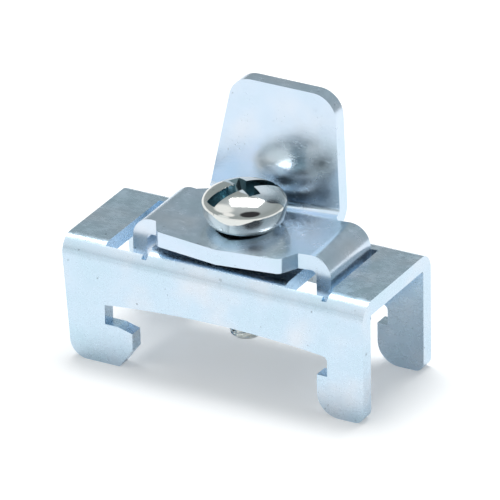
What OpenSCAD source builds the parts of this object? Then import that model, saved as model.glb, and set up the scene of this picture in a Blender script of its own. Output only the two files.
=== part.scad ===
// End stop for a 35 mm top-hat rail: a folded saddle bracket that hooks under the rail's two
// flanges, a folded clamp plate with a stop tab, and the screw that draws the plate down.
// The rail runs along Y. Z = 0 is the level that the bracket's four legs stand on.

/* [Rail] */
// Width of the rail over its two flanges
rail_w = 35; // [34.5:0.1:35.5]
// Thickness of the rail's sheet
rail_t = 1; // [1:0.1:1.5]
// Play between the rail's edges and the two notches
rail_play = 0.6; // [0.4:0.1:1]
// How far the rail's middle lies to the right of the screw
rail_shift = 0.6; // [0:0.1:1]

/* [Bracket] */
// Length of the bracket across the rail
bracket_l = 48.2; // [46:0.1:54]
// Depth of the bracket along the rail
bracket_d = 20.3; // [19.6:0.1:23]
// Height of the web's top over the feet
bracket_h = 18.25; // [17:0.05:20]
// Thickness of the bracket's sheet
wall_t = 2.3; // [2:0.1:2.5]
// Radius on the inside of the bracket's folds
fold_r = 0.4; // [0.3:0.1:1]
// Height of the hooks' upper faces, which the rail rests on
seat_z = 6.2; // [5.8:0.1:6.6]
// Height of the notches over the hooks
notch_h = 3; // [2.6:0.1:3.2]
// Radius in the right notches' upper corners
notch_r = 0.8; // [0.4:0.1:1]
// Rise of the walls' lower edge between the notches
arch_rise = 1.05; // [0.5:0.05:1.5]
// Reach of the left hooks under the rail
nose_reach = 4.4; // [3.6:0.1:4.6]
// Drop of the left hooks' tops towards their noses
nose_drop = 0.6; // [0.3:0.1:0.8]
// Length of the sloped stretch on the left hooks' tops
nose_slope_l = 2.3; // [1.5:0.1:3]
// Width of the bevel under the left hooks' noses
nose_bevel_w = 2.2; // [1.5:0.1:2.6]
// Height of the bevel under the left hooks' noses
nose_bevel_h = 3; // [2:0.1:3.4]
// Reach of the right hooks under the rail
toe_reach = 1.65; // [1.2:0.05:2]
// Radius of the right hooks' toes
toe_r = 3.4; // [2:0.1:3.6]
// Radius of the left legs' outer corners
heel_left_r = 2.8; // [1:0.1:3]
// Radius of the right legs' outer corners
heel_right_r = 1.4; // [0.5:0.1:2]
// How far the left legs lean in from the web to the feet
leg_taper = 1.3; // [0:0.1:1.5]

/* [Slots] */
// Clearance between the left arm's inner face and its slot
slot_play_in = 1.35; // [0.6:0.05:1.8]
// Clearance between the right arm's outer face and its slot
slot_play_out = 0.7; // [0.4:0.05:1.5]
// Clearance between the arms' backs and the slots
slot_play_back = 0.9; // [0.4:0.05:1]
// Angle by which the slots run into the front fold
slot_fold_a = 31; // [20:1:40]
// Width of the small relief nick at each slot's front corner
nick_w = 0.8; // [0.5:0.1:1]
// Further angle that the nick runs into the front fold
nick_a = 16; // [8:1:20]

/* [Clamp plate] */
// Thickness of the clamp plate's sheet
plate_t = 2.3; // [2:0.1:2.4]
// Gap between web and plate on the centre line
plate_gap = 0.55; // [0.5:0.05:0.8]
// Angle at which each half of the plate rises from the centre line
dish_a = 4.5; // [2:0.5:5]
// Setback of the plate's front edge from the bracket's front
plate_setback = 1.5; // [1:0.1:2]
// Reach of the front edge to the left of the screw
front_left = 9.4; // [9:0.1:9.6]
// Reach of the front edge to the right of the screw
front_right = 10.1; // [9.6:0.1:10.3]
// Radius of the plate's front corners
front_r = 1; // [0.5:0.1:1.5]
// How far the plate widens from its front edge to the arms
relief_w = 1.6; // [1.2:0.1:1.8]
// Radius on the inside of the arms' folds
arm_fold_r = 0.8; // [0.5:0.1:1.2]
// Distance from the screw to the left arm's outer face
arm_left = 14.75; // [14.6:0.05:15]
// Distance from the screw to the right arm's outer face
arm_right = 16.9; // [16.6:0.05:17]
// Setback of the arms' front edges from the bracket's front
arm_front = 4.2; // [4:0.1:4.6]
// Distance from the arms' backs to the tab's fold
arm_back = 0.95; // [0.5:0.05:2]
// Gap between the arms' ends and the rail's flanges as the part stands
arm_gap = 0.45; // [0.3:0.05:0.5]

/* [Stop tab] */
// Height of the tab's top over the feet
tab_top = 39.9; // [38:0.1:42]
// Distance from the screw to the tab's left foot
tab_left = 9.8; // [9.4:0.1:10]
// Distance from the screw to the tab's right foot
tab_right = 11; // [10.6:0.1:11.2]
// Lean of the tab's left edge
tab_left_a = 12.5; // [8:0.5:14]
// Lean of the tab's right edge
tab_right_a = 2; // [1:0.5:8]
// Radius of the tab's upper corners
tab_r = 3.6; // [2:0.1:4]
// Radius on the inside of the tab's fold
tab_fold_r = 1; // [0.6:0.1:1.4]
// Setback of the tab's stop face from the bracket's back
tab_setback = 0.15; // [0.1:0.05:0.5]

/* [Screw] */
// Diameter of the thread
thread_d = 5; // [4.9:0.05:5.1]
// Length of the screw under its head
screw_l = 17.35; // [14:0.05:18]
// Length of the cone at the screw's end
tip_cone = 0.6; // [0.4:0.1:1]
// Largest diameter of the head
head_d = 12.2; // [11.6:0.1:12.6]
// Diameter of the head's underside
head_seat_d = 10.8; // [10:0.1:11]
// Height of the head's widest level over its underside
head_waist = 2.8; // [2.2:0.1:3.2]
// Height of the head's crown over its widest level
head_crown = 3.2; // [2.4:0.1:3.8]
// Direction of the straight slot
recess_a = 48; // [0:1:90]
// Width of the straight slot
slit_w = 1.5; // [1.2:0.1:1.8]
// Depth of the straight slot at the crown
slit_depth = 2.2; // [1.8:0.1:2.4]
// Width over the cross recess
cross_w = 5.6; // [5:0.1:6]
// Thickness of the cross recess's wings
cross_t = 1.3; // [1:0.1:1.5]
// Depth of the cross recess
cross_depth = 3; // [2.4:0.1:3.2]
// Width over the cross recess at its bottom
cross_end_w = 1.8; // [1.4:0.1:2.4]

/* [Fits] */
// Radial clearance between the screw and the web's hole
screw_fit = 0.05; // [0.03:0.01:0.08]
// Radial clearance between the screw and the clamp plate's hole
plate_fit = 0.15; // [0.1:0.05:0.3]

/* [Hidden] */
$fn = 96;
arch_fn = 1440;
margin = 1;

// bracket
fold_out_r = fold_r + wall_t;
half_l = bracket_l / 2;
half_d = bracket_d / 2;
notch_span = rail_w + rail_play;
notch_left = rail_shift - notch_span / 2;
notch_right = rail_shift + notch_span / 2;
notch_top = seat_z + notch_h;
nose_x = notch_left + nose_reach;
toe_x = notch_right - toe_reach;
taper_a = atan(leg_taper / bracket_h);
arch_r = (notch_span * notch_span / 4 + arch_rise * arch_rise) / (2 * arch_rise);
arch_z = notch_top + arch_rise - arch_r;
slot_inner = arm_left - plate_t - slot_play_in;
slot_outer = arm_right + slot_play_out;
web_hole_d = thread_d + 2 * screw_fit;

// clamp plate
plate_z = bracket_h + plate_gap;
plate_front_y = plate_setback - half_d;
arm_front_y = arm_front - half_d;
tab_back_y = half_d - tab_setback;
tab_front_y = tab_back_y - plate_t;
tab_fold_y = tab_front_y - tab_fold_r;
arm_back_y = tab_fold_y - arm_back;
arm_end_z = seat_z + rail_t + arm_gap;
slot_end_y = arm_back_y + slot_play_back;
relief_a = atan(relief_w / (arm_front_y - plate_front_y));
tab_fold_h = plate_t + tab_fold_r;
tab_foot_z = plate_z + tab_fold_h;
tab_h = tab_top - tab_foot_z;
plate_hole_d = thread_d + 2 * plate_fit;

// screw
seat_clearance = 0.02;
head_z = plate_z + plate_t / cos(dish_a) + head_seat_d / 2 * tan(dish_a) + seat_clearance;
tip_z = head_z - screw_l;
head_h = head_waist + head_crown;
head_step = (head_d - head_seat_d) / 2;
side_r = (head_step * head_step + head_waist * head_waist) / (2 * head_step);
crown_r = (head_d * head_d / 4 + head_crown * head_crown) / (2 * head_crown);

// Turns a drawing in X and Z into a solid that runs along Y from y0 to y1.
module along_y(y0, y1) {
    translate([0, y1, 0])
        rotate([90, 0, 0])
            linear_extrude(y1 - y0)
                children();
}

// Turns a drawing in Y and Z into a solid that runs along X from x0 to x1.
module along_x(x0, x1) {
    translate([x0, 0, 0])
        rotate([90, 0, 90])
            linear_extrude(x1 - x0)
                children();
}

// What rounding by r takes off a lower left corner at the origin. The side above the corner
// leans out by a.
module corner_waste(r, a = 0) {
    centre = [r * (1 - sin(a)) / cos(a), r];
    reach = r + margin;
    difference() {
        polygon([
            centre,
            centre - reach * [cos(a), sin(a)],
            centre - reach * [1, 1],
            centre - reach * [0, 1]
        ]);
        translate(centre)
            circle(r);
    }
}

// Section of an upside-down U with round upper corners, from z = bottom up to z = top.
module u_section(half_w, bottom, top, r) {
    translate([-half_w, bottom])
        square([2 * half_w, top - r - bottom]);
    translate([r - half_w, bottom])
        square([2 * (half_w - r), top - bottom]);
    for (side = [-1, 1])
        translate([side * (half_w - r), top - r])
            circle(r);
}

// The space between the legs: it leaves the hooks, the notches and the walls' arched lower edge.
module leg_opening() {
    notch_centre_x = notch_right - notch_r;
    notch_centre_z = arch_z + sqrt(pow(arch_r - notch_r, 2) - pow(notch_centre_x - rail_shift, 2));
    notch_centre = [notch_centre_x, notch_centre_z];
    arch_centre = [rail_shift, arch_z];
    tangent_dir = (notch_centre - arch_centre) / norm(notch_centre - arch_centre);
    difference() {
        union() {
            polygon([
                [nose_x - nose_bevel_w, -margin],
                [nose_x - nose_bevel_w, 0],
                [nose_x, nose_bevel_h],
                [nose_x, seat_z - nose_drop],
                [nose_x - nose_slope_l, seat_z],
                [notch_left, seat_z],
                [notch_left, notch_top],
                [notch_right, notch_top],
                [notch_right, seat_z],
                [toe_x, seat_z],
                [toe_x, -margin]
            ]);
            intersection() {
                translate(arch_centre)
                    circle(arch_r, $fn = arch_fn);
                translate([notch_left, seat_z])
                    square([notch_span, notch_h + arch_rise]);
            }
        }
        difference() {
            polygon([
                notch_centre,
                notch_centre + [notch_r + margin, 0],
                notch_centre + [notch_r + margin, notch_r + margin],
                notch_centre + (notch_r + margin) * tangent_dir
            ]);
            translate(notch_centre)
                circle(notch_r);
        }
    }
}

// Outline of the bracket's walls and web, seen from the front.
module wall_outline() {
    lean = leg_taper / bracket_h;
    difference() {
        polygon([
            [leg_taper - half_l + lean * margin, -margin],
            [half_l, -margin],
            [half_l, bracket_h + margin],
            [-half_l - lean * margin, bracket_h + margin]
        ]);
        leg_opening();
        translate([leg_taper - half_l, 0])
            corner_waste(heel_left_r, taper_a);
        translate([toe_x, 0])
            corner_waste(toe_r);
        translate([half_l, 0])
            mirror([1, 0])
                corner_waste(heel_right_r);
    }
}

// Section of a slot: it runs through the web and by fold_a into the front fold.
module slot_section(fold_a, end_y) {
    fold_centre = [fold_out_r - half_d, bracket_h - fold_out_r];
    over_z = bracket_h + 2 * margin;
    polygon([
        fold_centre,
        fold_centre + (fold_out_r + margin) * [-sin(fold_a), cos(fold_a)],
        [fold_centre.x, over_z],
        [end_y, over_z],
        [end_y, fold_centre.y]
    ]);
}

// One slot from x0 to x1, with the nick in its front right corner.
module slot(x0, x1) {
    along_x(x0, x1)
        slot_section(slot_fold_a, slot_end_y);
    along_x(x1 - nick_w / 2, x1 + nick_w / 2)
        slot_section(slot_fold_a + nick_a, fold_out_r - half_d + margin / 2);
}

module bracket() {
    color([0.74, 0.80, 0.84])
        difference() {
            intersection() {
                along_x(-half_l - margin, half_l + margin)
                    difference() {
                        u_section(half_d, 0, bracket_h, fold_out_r);
                        u_section(half_d - wall_t, -margin, bracket_h - wall_t, fold_r);
                    }
                along_y(-half_d - margin, half_d + margin)
                    wall_outline();
            }
            slot(-slot_outer, -slot_inner);
            slot(slot_inner, slot_outer);
            translate([0, 0, bracket_h - wall_t - margin])
                cylinder(h = wall_t + 2 * margin, d = web_hole_d);
        }
}

// Everything under a line that rises by dish_a from z at the screw, and left of an arm's face,
// seen from the front. The corner between them is rounded by r about the point bend.
module under_fold(z, bend, r) {
    polygon([
        [0, arm_end_z - margin],
        [0, z],
        bend + r * [-sin(dish_a), cos(dish_a)],
        bend + [r, 0],
        [bend.x + r, arm_end_z - margin]
    ]);
    translate(bend)
        circle(r);
}

// Right half of the dished plate with its arm, seen from the front. The arm's outer face is
// arm_x from the screw.
module half_profile(arm_x) {
    bend_x = arm_x - arm_fold_r - plate_t;
    bend = [bend_x, plate_z + bend_x * tan(dish_a) - arm_fold_r / cos(dish_a)];
    intersection() {
        difference() {
            under_fold(plate_z + plate_t / cos(dish_a), bend, arm_fold_r + plate_t);
            under_fold(plate_z, bend, arm_fold_r);
        }
        translate([0, arm_end_z])
            square([arm_x, tab_top - arm_end_z]);
    }
}

// Outline of the plate and its arms, seen from above.
module plate_plan() {
    reach = arm_right + margin;
    difference() {
        polygon([
            [-front_left, plate_front_y],
            [front_right, plate_front_y],
            [front_right + relief_w, arm_front_y],
            [reach, arm_front_y],
            [reach, arm_back_y],
            [front_right + relief_w, arm_back_y],
            [tab_right, tab_fold_y],
            [-tab_left, tab_fold_y],
            [-front_left - relief_w, arm_back_y],
            [-reach, arm_back_y],
            [-reach, arm_front_y],
            [-front_left - relief_w, arm_front_y]
        ]);
        translate([-front_left, plate_front_y])
            corner_waste(front_r, relief_a);
        translate([front_right, plate_front_y])
            mirror([1, 0])
                corner_waste(front_r, relief_a);
    }
}

// Outline of the tab, seen from the front.
module tab_outline() {
    difference() {
        polygon([
            [-tab_left, plate_z - margin],
            [tab_right, plate_z - margin],
            [tab_right, tab_foot_z],
            [tab_right - tab_h * tan(tab_right_a), tab_top],
            [tab_h * tan(tab_left_a) - tab_left, tab_top],
            [-tab_left, tab_foot_z]
        ]);
        translate([tab_h * tan(tab_left_a) - tab_left, tab_top])
            mirror([0, 1])
                corner_waste(tab_r, tab_left_a);
        translate([tab_right - tab_h * tan(tab_right_a), tab_top])
            mirror([0, 1])
                mirror([1, 0])
                    corner_waste(tab_r, tab_right_a);
    }
}

// Everything over and in front of a corner at [back, bottom], which is rounded by r. Y runs to
// the right, and the height over the plate's underside runs up.
module over_fold(back, bottom, r) {
    difference() {
        translate([tab_fold_y, bottom])
            square([back - tab_fold_y, tab_top]);
        translate([back, bottom])
            mirror([1, 0])
                corner_waste(r);
    }
}

// Right half of the tab with its fold, which follows the dished plate. The sheet is upright.
module half_tab() {
    reach = tab_right + margin;
    intersection() {
        translate([0, 0, plate_z])
            rotate([0, -dish_a, 0])
                along_x(-tab_top, reach + margin)
                    difference() {
                        over_fold(tab_back_y, 0, tab_fold_h);
                        over_fold(tab_front_y, plate_t, tab_fold_r);
                    }
        translate([0, tab_fold_y - margin, 0])
            cube([reach, tab_fold_h + 2 * margin, tab_top]);
    }
}

module clamp_plate() {
    color([0.70, 0.77, 0.83])
        difference() {
            union() {
                intersection() {
                    along_y(plate_front_y, tab_fold_y)
                        union() {
                            half_profile(arm_right);
                            mirror([1, 0])
                                half_profile(arm_left);
                        }
                    linear_extrude(tab_top)
                        plate_plan();
                }
                intersection() {
                    union() {
                        half_tab();
                        mirror([1, 0, 0])
                            half_tab();
                    }
                    along_y(tab_fold_y, tab_back_y)
                        tab_outline();
                }
            }
            translate([0, 0, plate_z - margin])
                cylinder(h = plate_t + 3 * margin, d = plate_hole_d);
        }
}

// Half section of the screw's head over its underside.
module head_section() {
    square([head_d / 2 - side_r, head_waist]);
    intersection() {
        translate([head_d / 2 - side_r, head_waist])
            circle(side_r);
        square([head_d / 2, head_waist]);
    }
    intersection() {
        translate([0, head_h - crown_r])
            circle(crown_r);
        translate([0, head_waist])
            square([head_d / 2, head_crown]);
    }
}

// Straight slot and cross recess together, cut from the crown down.
module recess() {
    translate([-head_d / 2, -slit_w / 2, head_h - slit_depth])
        cube([head_d, slit_w, head_crown]);
    translate([0, 0, head_h - cross_depth])
        intersection() {
            for (turn = [0, 90])
                rotate([0, 0, turn])
                    translate([-cross_w / 2, -cross_t / 2, 0])
                        cube([cross_w, cross_t, cross_depth + margin]);
            cylinder(h = cross_depth, d1 = cross_end_w, d2 = cross_w);
        }
}

module screw() {
    color([0.80, 0.82, 0.80])
        difference() {
            union() {
                translate([0, 0, head_z])
                    rotate_extrude()
                        head_section();
                translate([0, 0, tip_z + tip_cone])
                    cylinder(h = head_z - tip_z - tip_cone, d = thread_d);
                translate([0, 0, tip_z])
                    cylinder(h = tip_cone, d1 = thread_d - 2 * tip_cone, d2 = thread_d);
            }
            translate([0, 0, head_z])
                rotate([0, 0, recess_a])
                    recess();
        }
}

bracket();
clamp_plate();
screw();
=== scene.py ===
import math

import bmesh
import bpy
from mathutils import Matrix, Vector


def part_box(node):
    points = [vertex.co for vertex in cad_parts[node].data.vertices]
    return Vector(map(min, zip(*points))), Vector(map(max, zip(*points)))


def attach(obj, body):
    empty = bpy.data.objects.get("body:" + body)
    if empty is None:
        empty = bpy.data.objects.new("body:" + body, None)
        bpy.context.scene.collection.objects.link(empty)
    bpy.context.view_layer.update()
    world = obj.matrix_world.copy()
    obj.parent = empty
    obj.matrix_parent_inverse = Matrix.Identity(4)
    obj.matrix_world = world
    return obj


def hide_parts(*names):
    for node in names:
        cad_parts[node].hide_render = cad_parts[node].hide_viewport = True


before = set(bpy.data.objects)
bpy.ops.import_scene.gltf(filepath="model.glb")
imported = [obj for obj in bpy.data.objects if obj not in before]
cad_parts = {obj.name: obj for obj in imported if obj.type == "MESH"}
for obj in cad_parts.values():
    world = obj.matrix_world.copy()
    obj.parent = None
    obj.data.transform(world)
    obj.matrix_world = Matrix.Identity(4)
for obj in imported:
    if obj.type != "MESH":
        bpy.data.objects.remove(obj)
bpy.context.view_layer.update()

MM = 0.001
scene = bpy.context.scene

# ---------------------------------------------------------------- camera
AZIMUTH = math.radians(29.18)
ELEVATION = math.radians(26.30)
ROLL = math.radians(-0.89)
DISTANCE = 1168.8 * MM
TARGET = Vector((0.625, -0.15, 15.0)) * MM
SLIDE = (0.141 * MM, 2.237 * MM)  # how far the frame's middle lies right of and over the target
LENS = 598.2
SENSOR = 36
CLIP = (0.05, 20)


def add_camera():
    back = Vector((
        math.sin(AZIMUTH) * math.cos(ELEVATION),
        -math.cos(AZIMUTH) * math.cos(ELEVATION),
        math.sin(ELEVATION),
    ))
    level = Vector((math.cos(AZIMUTH), math.sin(AZIMUTH), 0))
    over = back.cross(level)
    right = math.cos(ROLL) * level + math.sin(ROLL) * over
    up = math.cos(ROLL) * over - math.sin(ROLL) * level
    spot = TARGET + back * DISTANCE + right * SLIDE[0] + up * SLIDE[1]
    data = bpy.data.cameras.new("camera")
    data.type = "PERSP"
    data.lens = LENS
    data.sensor_width = SENSOR
    data.clip_start, data.clip_end = CLIP
    camera = bpy.data.objects.new("camera", data)
    camera.matrix_world = Matrix((
        (right.x, up.x, back.x, spot.x),
        (right.y, up.y, back.y, spot.y),
        (right.z, up.z, back.z, spot.z),
        (0, 0, 0, 1),
    ))
    scene.collection.objects.link(camera)
    scene.camera = camera


add_camera()


# ---------------------------------------------------------------- shader helpers
def new_material(name):
    material = bpy.data.materials.new(name)
    material.use_nodes = True
    material.node_tree.nodes.clear()
    return material, material.node_tree


def node(tree, kind, **values):
    made = tree.nodes.new(kind)
    for key, value in values.items():
        setattr(made, key, value)
    return made


def link(tree, source, target):
    tree.links.new(source, target)


def noise(tree, vector, scale, detail, rough):
    made = node(tree, "ShaderNodeTexNoise")
    made.inputs["Scale"].default_value = scale
    made.inputs["Detail"].default_value = detail
    made.inputs["Roughness"].default_value = rough
    link(tree, vector, made.inputs["Vector"])
    return made.outputs["Fac"]


def ramp(tree, fac, stops):
    """Colours over a value, from stops of (place, colour)."""
    made = node(tree, "ShaderNodeValToRGB")
    ends = made.color_ramp.elements
    ends[0].position, ends[0].color = stops[0][0], (*stops[0][1], 1)
    ends[1].position, ends[1].color = stops[-1][0], (*stops[-1][1], 1)
    for place, colour in stops[1:-1]:
        ends.new(place).color = (*colour, 1)
    link(tree, fac, made.inputs["Fac"])
    return made.outputs["Color"]


def grey(value):
    return (value, value, value)


def object_space(tree, scale):
    coord = node(tree, "ShaderNodeTexCoord")
    mapping = node(tree, "ShaderNodeMapping")
    mapping.inputs["Scale"].default_value = scale
    link(tree, coord.outputs["Object"], mapping.inputs["Vector"])
    return mapping.outputs["Vector"]


# ---------------------------------------------------------------- plated metals
# Noises of the plating: scale per metre, detail, roughness
DRIFT_NOISE = (130, 2, 0.5)  # tint that drifts over the sheet
PIT_NOISE = (900, 4, 0.65)  # small dark pits
GRAIN_NOISE = (2600, 4, 0.6)  # fine satin grain
DULL_NOISE = (420, 3, 0.55)  # cloudy patches in the gloss
WAVE_NOISE = (260, 2, 0.5)  # shallow waves in the sheet
DRIFT_STOPS = (0.3, 0.5, 0.72)
PIT_STOPS = [(0.27, grey(0.45)), (0.335, grey(1.0))]
GLOSS_FROM = (0.7, 1.3)  # grain and cloud together, from shiny to dull
WAVE_SHARE = 4.0  # height of the waves against the grain
EVEN = (1, 1, 1)
ROLLED = (0.45, 1, 1)  # grain drawn out along X, as the sheet was rolled


def plated(name, tints, rough, stretch, bump):
    """Bright plating whose tint and gloss drift, with satin grain, shallow waves and pits."""
    material, tree = new_material(name)
    out = node(tree, "ShaderNodeOutputMaterial")
    metal = node(tree, "ShaderNodeBsdfPrincipled")
    metal.inputs["Metallic"].default_value = 1.0
    even = object_space(tree, EVEN)
    grain = noise(tree, object_space(tree, stretch), *GRAIN_NOISE)

    tint = ramp(tree, noise(tree, even, *DRIFT_NOISE), list(zip(DRIFT_STOPS, tints)))
    pits = ramp(tree, noise(tree, even, *PIT_NOISE), PIT_STOPS)
    pitted = node(tree, "ShaderNodeMix", data_type="RGBA", blend_type="MULTIPLY")
    pitted.inputs["Factor"].default_value = 1.0
    link(tree, tint, pitted.inputs["A"])
    link(tree, pits, pitted.inputs["B"])
    link(tree, pitted.outputs["Result"], metal.inputs["Base Color"])

    cloudy = node(tree, "ShaderNodeMath", operation="ADD")
    link(tree, grain, cloudy.inputs[0])
    link(tree, noise(tree, even, *DULL_NOISE), cloudy.inputs[1])
    gloss = node(tree, "ShaderNodeMapRange")
    gloss.inputs["From Min"].default_value, gloss.inputs["From Max"].default_value = GLOSS_FROM
    gloss.inputs["To Min"].default_value, gloss.inputs["To Max"].default_value = rough
    link(tree, cloudy.outputs[0], gloss.inputs["Value"])
    link(tree, gloss.outputs["Result"], metal.inputs["Roughness"])

    height = node(tree, "ShaderNodeMath", operation="MULTIPLY_ADD")
    height.inputs[1].default_value = WAVE_SHARE
    link(tree, noise(tree, even, *WAVE_NOISE), height.inputs[0])
    link(tree, grain, height.inputs[2])
    relief = node(tree, "ShaderNodeBump")
    relief.inputs["Strength"].default_value = 1.0
    relief.inputs["Distance"].default_value = bump
    link(tree, height.outputs[0], relief.inputs["Height"])
    link(tree, relief.outputs["Normal"], metal.inputs["Normal"])
    link(tree, metal.outputs["BSDF"], out.inputs["Surface"])
    return material


SHEET_BUMP = 0.0022 * MM
SCREW_BUMP = 0.001 * MM
bracket_zinc = plated(
    "bracket_zinc",
    ((0.62, 0.79, 0.90), (0.67, 0.81, 0.93), (0.77, 0.83, 0.90)),
    (0.20, 0.34), ROLLED, SHEET_BUMP,
)
plate_zinc = plated(
    "plate_zinc",
    ((0.66, 0.81, 0.92), (0.71, 0.83, 0.96), (0.79, 0.86, 0.95)),
    (0.17, 0.29), ROLLED, SHEET_BUMP,
)
screw_nickel = plated(
    "screw_nickel",
    ((0.76, 0.79, 0.78), (0.80, 0.81, 0.78), (0.84, 0.82, 0.77)),
    (0.06, 0.14), EVEN, SCREW_BUMP,
)
# The recess's walls get a darker, teal colour of their own: painted shade that stands in for
# the shade inside the recess.
recess_painted_shade = plated(
    "screw_recess_painted_shade",
    ((0.27, 0.41, 0.46), (0.36, 0.50, 0.55), (0.48, 0.60, 0.62)),
    (0.08, 0.20), EVEN, SCREW_BUMP,
)

# ---------------------------------------------------------------- sheet parts
SHEET_EDGE = 0.16 * MM
EDGE_ANGLE = math.radians(35)  # edges sharper than this are broken


def break_edges(piece, width):
    bevel = piece.modifiers.new("edge", "BEVEL")
    bevel.width = width
    bevel.segments = 2
    bevel.limit_method = "ANGLE"
    bevel.angle_limit = EDGE_ANGLE
    bevel.harden_normals = True


def dress(name, material):
    """Gives a CAD node its metal, and breaks the sharp edges that the press left."""
    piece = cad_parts[name]
    if not piece.material_slots:
        piece.data.materials.append(material)
    for slot in piece.material_slots:
        slot.material = material
    break_edges(piece, SHEET_EDGE)


dress("bracket", bracket_zinc)
dress("clamp_plate", plate_zinc)

# ---------------------------------------------------------------- screw, all lengths in mm
ROUND = 96  # points round the screw
PITCH = 0.8
THREAD_R = 2.5
THREAD_DEPTH = 0.43
THREAD_ROOT = 0.2  # flat at the thread's root, as a share of the pitch
THREAD_CREST = 0.15  # flat at the thread's crest, as a share of the pitch
THREAD_STEPS = 12  # rings per pitch
THREAD_RUNOUT = 0.6  # plain stretch under the head
TIP_CONE = 0.6
HEAD_H = 6.0
HEAD_SEAT_R = 4.4  # where the head bears on the plate
HEAD_BEVEL_R = 5.4
HEAD_BEVEL_H = 0.75
CROWN_H = 2.75  # crown over the head's widest level
SIDE_STEPS = 8
CROWN_STEPS = 24
SLIT_W = 2.1
SLIT_R = 5.6  # the straight slot ends inside the crown's edge
SLIT_END_STEPS = 8
SLIT_DEPTH = 2.9
CROSS_R = 3.4
CROSS_T = 1.9
CROSS_DEPTH = 3.6
CROSS_END_R = 0.9
CROSS_END_T = 1.1
RECESS_ANGLE = 59  # degrees that the straight slot is turned from X
RECESS_SKIN = 0.08  # how far under the crown a face belongs to the recess
CUT_OVER = 1  # how far the slot's cutter stands over the crown
CROSS_OVER = 0.2  # how far the cross's cutter stands over the crown
SCREW_EDGE = 0.06
SHARP_ANGLE = math.radians(28)  # edges sharper than this aren't shaded round


def solid(name, points, faces):
    mesh = bpy.data.meshes.new(name)
    mesh.from_pydata([Vector(point) * MM for point in points], [], faces)
    work = bmesh.new()
    work.from_mesh(mesh)
    bmesh.ops.recalc_face_normals(work, faces=work.faces)
    work.to_mesh(mesh)
    work.free()
    piece = bpy.data.objects.new(name, mesh)
    scene.collection.objects.link(piece)
    return piece


def prism(name, low, high):
    """A closed solid between two outlines with as many points, each a list of (x, y, z)."""
    n = len(low)
    sides = [(i, (i + 1) % n, n + (i + 1) % n, n + i) for i in range(n)]
    return solid(name, low + high, [tuple(range(n)), tuple(range(n, 2 * n))] + sides)


def oval(reach, rise, level, start, stop, steps):
    """Points (r, z) on an ellipse about the axis, after start and up to stop in degrees."""
    turns = [math.radians(start + (stop - start) * i / steps) for i in range(1, steps + 1)]
    return [(reach * math.cos(turn), level + rise * math.sin(turn)) for turn in turns]


def thread_radius(z, angle, tip):
    """Radius of a right-hand thread: flat roots and crests with flanks between them."""
    phase = (z / PITCH - angle / (2 * math.pi)) % 1.0
    flank = (abs(phase - 0.5) * 2 - THREAD_ROOT) / (1 - THREAD_ROOT - THREAD_CREST)
    flank = min(1.0, max(0.0, flank))
    cone = min(THREAD_R, THREAD_R - TIP_CONE + (z - tip))
    return min(cone, THREAD_R - THREAD_DEPTH * (1 - flank))


def ring(z, radius_at):
    """Points round the axis at one level, with the radius as a function of the angle."""
    angles = [2 * math.pi * k / ROUND for k in range(ROUND)]
    return [
        (radius_at(angle) * math.cos(angle), radius_at(angle) * math.sin(angle), z)
        for angle in angles
    ]


def head_profile(top, head_r):
    """Points (r, z) from the shank out under the head and up over it to beside its top."""
    under = top - HEAD_H
    waist = top - CROWN_H
    low = math.degrees(math.acos(HEAD_BEVEL_R / head_r))
    side_h = (waist - under - HEAD_BEVEL_H) / math.sin(math.radians(low))
    profile = [(THREAD_R, under), (HEAD_SEAT_R, under), (HEAD_BEVEL_R, under + HEAD_BEVEL_H)]
    profile += oval(head_r, side_h, waist, -low, 0, SIDE_STEPS)
    return profile + oval(head_r, CROWN_H, waist, 0, 90, CROWN_STEPS)[:-1]


def screw_body(tip, top, head_r):
    """Thread and head as one closed skin of rings, with a flat tip and a point at the top."""
    length = top - HEAD_H - THREAD_RUNOUT - tip
    steps = round(length / PITCH * THREAD_STEPS)
    points = []
    for i in range(steps + 1):
        z = tip + length * i / steps
        points += ring(z, lambda angle: thread_radius(z, angle, tip))
    for r, z in head_profile(top, head_r):
        points += ring(z, lambda angle: r)
    last = len(points) - ROUND
    faces = [
        (i + k, i + (k + 1) % ROUND, i + ROUND + (k + 1) % ROUND, i + ROUND + k)
        for i in range(0, last, ROUND) for k in range(ROUND)
    ]
    faces.append(tuple(range(ROUND)))
    faces += [(last + k, last + (k + 1) % ROUND, len(points)) for k in range(ROUND)]
    points.append((0, 0, top))
    return solid("clamp_screw", points, faces)


def slot_cutter(top):
    across = [SLIT_W * (i / SLIT_END_STEPS - 0.5) for i in range(SLIT_END_STEPS + 1)]
    outline = [(math.sqrt(SLIT_R ** 2 - y * y), y) for y in across]
    outline += [(-x, -y) for x, y in outline]
    levels = (top - SLIT_DEPTH, top + CUT_OVER)
    return prism("slot", *([(x, y, z) for x, y in outline] for z in levels))


def plus_outline(reach, half, z):
    """A cross's outline at one level: one arm's corners, turned by each quarter."""
    arm = [(reach, -half), (reach, half), (half, half)]
    quarters = [(1, 0), (0, 1), (-1, 0), (0, -1)]
    return [(x * c - y * s, x * s + y * c, z) for c, s in quarters for x, y in arm]


def cross_cutter(top):
    return prism(
        "cross",
        plus_outline(CROSS_END_R, CROSS_END_T / 2, top - CROSS_DEPTH),
        plus_outline(CROSS_R, CROSS_T / 2, top + CROSS_OVER),
    )


def in_recess(centre, top, head_r):
    """Whether a face's middle lies inside the head, under its crown."""
    reach = math.hypot(centre.x, centre.y)
    if reach > SLIT_R:
        return False
    waist = top - CROWN_H
    crown = waist + CROWN_H * math.sqrt(1 - (reach / head_r) ** 2)
    return top - CROSS_DEPTH - RECESS_SKIN < centre.z < crown - RECESS_SKIN


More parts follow.
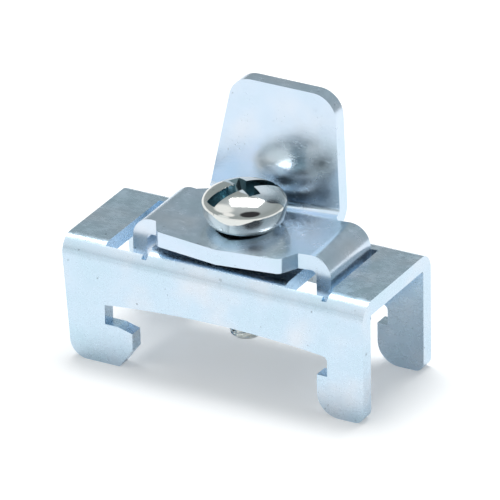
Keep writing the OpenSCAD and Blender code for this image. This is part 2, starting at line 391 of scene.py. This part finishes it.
def cut(piece, cutters):
    """Takes the cutters away from a piece for good, and removes them."""
    for cutter in cutters:
        cutting = piece.modifiers.new(cutter.name, "BOOLEAN")
        cutting.operation = "DIFFERENCE"
        cutting.solver = "EXACT"
        cutting.object = cutter
    bpy.context.view_layer.update()
    evaluated = piece.evaluated_get(bpy.context.evaluated_depsgraph_get())
    mesh = bpy.data.meshes.new_from_object(evaluated)
    piece.modifiers.clear()
    piece.data = mesh
    for cutter in cutters:
        bpy.data.objects.remove(cutter)


def add_screw():
    low, high = (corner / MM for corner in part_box("screw"))
    head_r = (high.x - low.x) / 2
    screw = screw_body(low.z, high.z, head_r)
    cutters = [slot_cutter(high.z), cross_cutter(high.z)]
    for cutter in cutters:
        cutter.rotation_euler.z = math.radians(RECESS_ANGLE)
    cut(screw, cutters)
    mesh = screw.data
    mesh.materials.clear()
    mesh.materials.append(screw_nickel)
    # the second material is painted shade, given to the faces inside the recess
    mesh.materials.append(recess_painted_shade)
    for face in mesh.polygons:
        face.use_smooth = True
        face.material_index = int(in_recess(face.center / MM, high.z, head_r))
    mesh.set_sharp_from_angle(angle=SHARP_ANGLE)
    break_edges(screw, SCREW_EDGE * MM)
    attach(screw, "screw")
    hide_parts("screw")


add_screw()

# ---------------------------------------------------------------- floor
FLOOR_REACH = 3.0
FLOOR_COLOUR = (0.8, 0.8, 0.8, 1)
WHITE = (1, 1, 1, 1)
FLOOR_GLOW = 0.28  # lifts the floor to white where the camera sees it
GLOW_IN_METAL = 0.45  # share of that glow that polished metal shows


def add_floor():
    reach = FLOOR_REACH
    mesh = bpy.data.meshes.new("floor")
    corners = [(-reach, -reach, 0), (reach, -reach, 0), (reach, reach, 0), (-reach, reach, 0)]
    mesh.from_pydata(corners, [], [(0, 1, 2, 3)])
    floor = bpy.data.objects.new("floor", mesh)
    scene.collection.objects.link(floor)
    material, tree = new_material("floor_white")
    out = node(tree, "ShaderNodeOutputMaterial")
    paper = node(tree, "ShaderNodeBsdfDiffuse")
    paper.inputs["Color"].default_value = FLOOR_COLOUR
    glow = node(tree, "ShaderNodeEmission")
    glow.inputs["Color"].default_value = WHITE
    glow.inputs["Strength"].default_value = FLOOR_GLOW
    lit = node(tree, "ShaderNodeAddShader")
    link(tree, paper.outputs[0], lit.inputs[0])
    link(tree, glow.outputs[0], lit.inputs[1])
    path = node(tree, "ShaderNodeLightPath")
    seen = node(tree, "ShaderNodeMath", operation="MULTIPLY_ADD")
    seen.inputs[1].default_value = GLOW_IN_METAL
    link(tree, path.outputs["Is Glossy Ray"], seen.inputs[0])
    link(tree, path.outputs["Is Camera Ray"], seen.inputs[2])
    shown = node(tree, "ShaderNodeMixShader")
    link(tree, seen.outputs[0], shown.inputs["Fac"])
    link(tree, paper.outputs[0], shown.inputs[1])
    link(tree, lit.outputs[0], shown.inputs[2])
    link(tree, shown.outputs[0], out.inputs["Surface"])
    mesh.materials.append(material)


add_floor()

# ---------------------------------------------------------------- light
SOFTBOX_DIRECTION = (-0.10, 0.26, 0.96)
SOFTBOX_DISTANCE = 0.9
SOFTBOX_SIZE = (0.60, 0.40)
SOFTBOX_POWER = 6.2
# The room from straight down to straight up
ROOM = [
    (0.0, (0.40, 0.43, 0.44)),
    (0.50, (0.34, 0.38, 0.39)),
    (1.0, (0.50, 0.54, 0.57)),
]
# Regions of the room that polished metal shows: direction, angle of the full patch, angle at
# which it has faded, colour
PATCHES = [
    ((-0.437, 0.783, 0.443), 16, 44, (0.31, 0.35, 0.36)),  # grey wall, back left
    ((0.20, 0.98, 0.02), 10, 22, (0.95, 0.97, 0.97)),  # white backdrop behind
    ((0.52, -0.50, 0.69), 20, 26, (0.04, 0.04, 0.045)),  # dark ceiling over the camera
    ((-0.55, -0.35, 0.76), 15, 27, (0.97, 0.98, 0.98)),  # white ceiling, left
    ((-0.27, -0.80, 0.54), 10, 18, (1.00, 1.00, 1.00)),  # white card, front left
    ((-0.45, -0.89, 0.05), 11, 19, (0.90, 0.94, 0.95)),  # white table edge, front left
]


def add_softbox():
    data = bpy.data.lights.new("softbox_top", "AREA")
    data.shape = "RECTANGLE"
    data.size, data.size_y = SOFTBOX_SIZE
    data.energy = SOFTBOX_POWER
    lamp = bpy.data.objects.new("softbox_top", data)
    toward = Vector(SOFTBOX_DIRECTION).normalized()
    facing = toward.to_track_quat("Z", "Y").to_matrix().to_4x4()
    lamp.matrix_world = Matrix.Translation(toward * SOFTBOX_DISTANCE) @ facing
    lamp.visible_camera = False
    scene.collection.objects.link(lamp)


def patched(tree, around, shade, direction, full, faded, colour):
    """The room's shade with one soft round patch of another colour in it."""
    along = node(tree, "ShaderNodeVectorMath", operation="DOT_PRODUCT")
    along.inputs[1].default_value = Vector(direction).normalized()
    link(tree, around, along.inputs[0])
    edge = node(tree, "ShaderNodeMapRange", interpolation_type="SMOOTHSTEP")
    edge.inputs["From Min"].default_value = math.cos(math.radians(faded))
    edge.inputs["From Max"].default_value = math.cos(math.radians(full))
    link(tree, along.outputs["Value"], edge.inputs["Value"])
    mix = node(tree, "ShaderNodeMix", data_type="RGBA")
    mix.inputs["B"].default_value = (*colour, 1)
    link(tree, edge.outputs["Result"], mix.inputs["Factor"])
    link(tree, shade, mix.inputs["A"])
    return mix.outputs["Result"]


def add_room():
    world = bpy.data.worlds.new("studio")
    world.use_nodes = True
    scene.world = world
    tree = world.node_tree
    tree.nodes.clear()
    out = node(tree, "ShaderNodeOutputWorld")
    around = node(tree, "ShaderNodeTexCoord").outputs["Generated"]
    parts = node(tree, "ShaderNodeSeparateXYZ")
    link(tree, around, parts.inputs[0])
    shade = ramp(tree, parts.outputs["Z"], ROOM)
    for patch in PATCHES:
        shade = patched(tree, around, shade, *patch)
    room = node(tree, "ShaderNodeBackground")
    link(tree, shade, room.inputs["Color"])
    backdrop = node(tree, "ShaderNodeBackground")
    backdrop.inputs["Color"].default_value = WHITE
    path = node(tree, "ShaderNodeLightPath")
    pick = node(tree, "ShaderNodeMixShader")
    link(tree, path.outputs["Is Camera Ray"], pick.inputs["Fac"])
    link(tree, room.outputs[0], pick.inputs[1])
    link(tree, backdrop.outputs[0], pick.inputs[2])
    link(tree, pick.outputs[0], out.inputs["Surface"])


add_softbox()
add_room()

scene.view_settings.view_transform = "Standard"
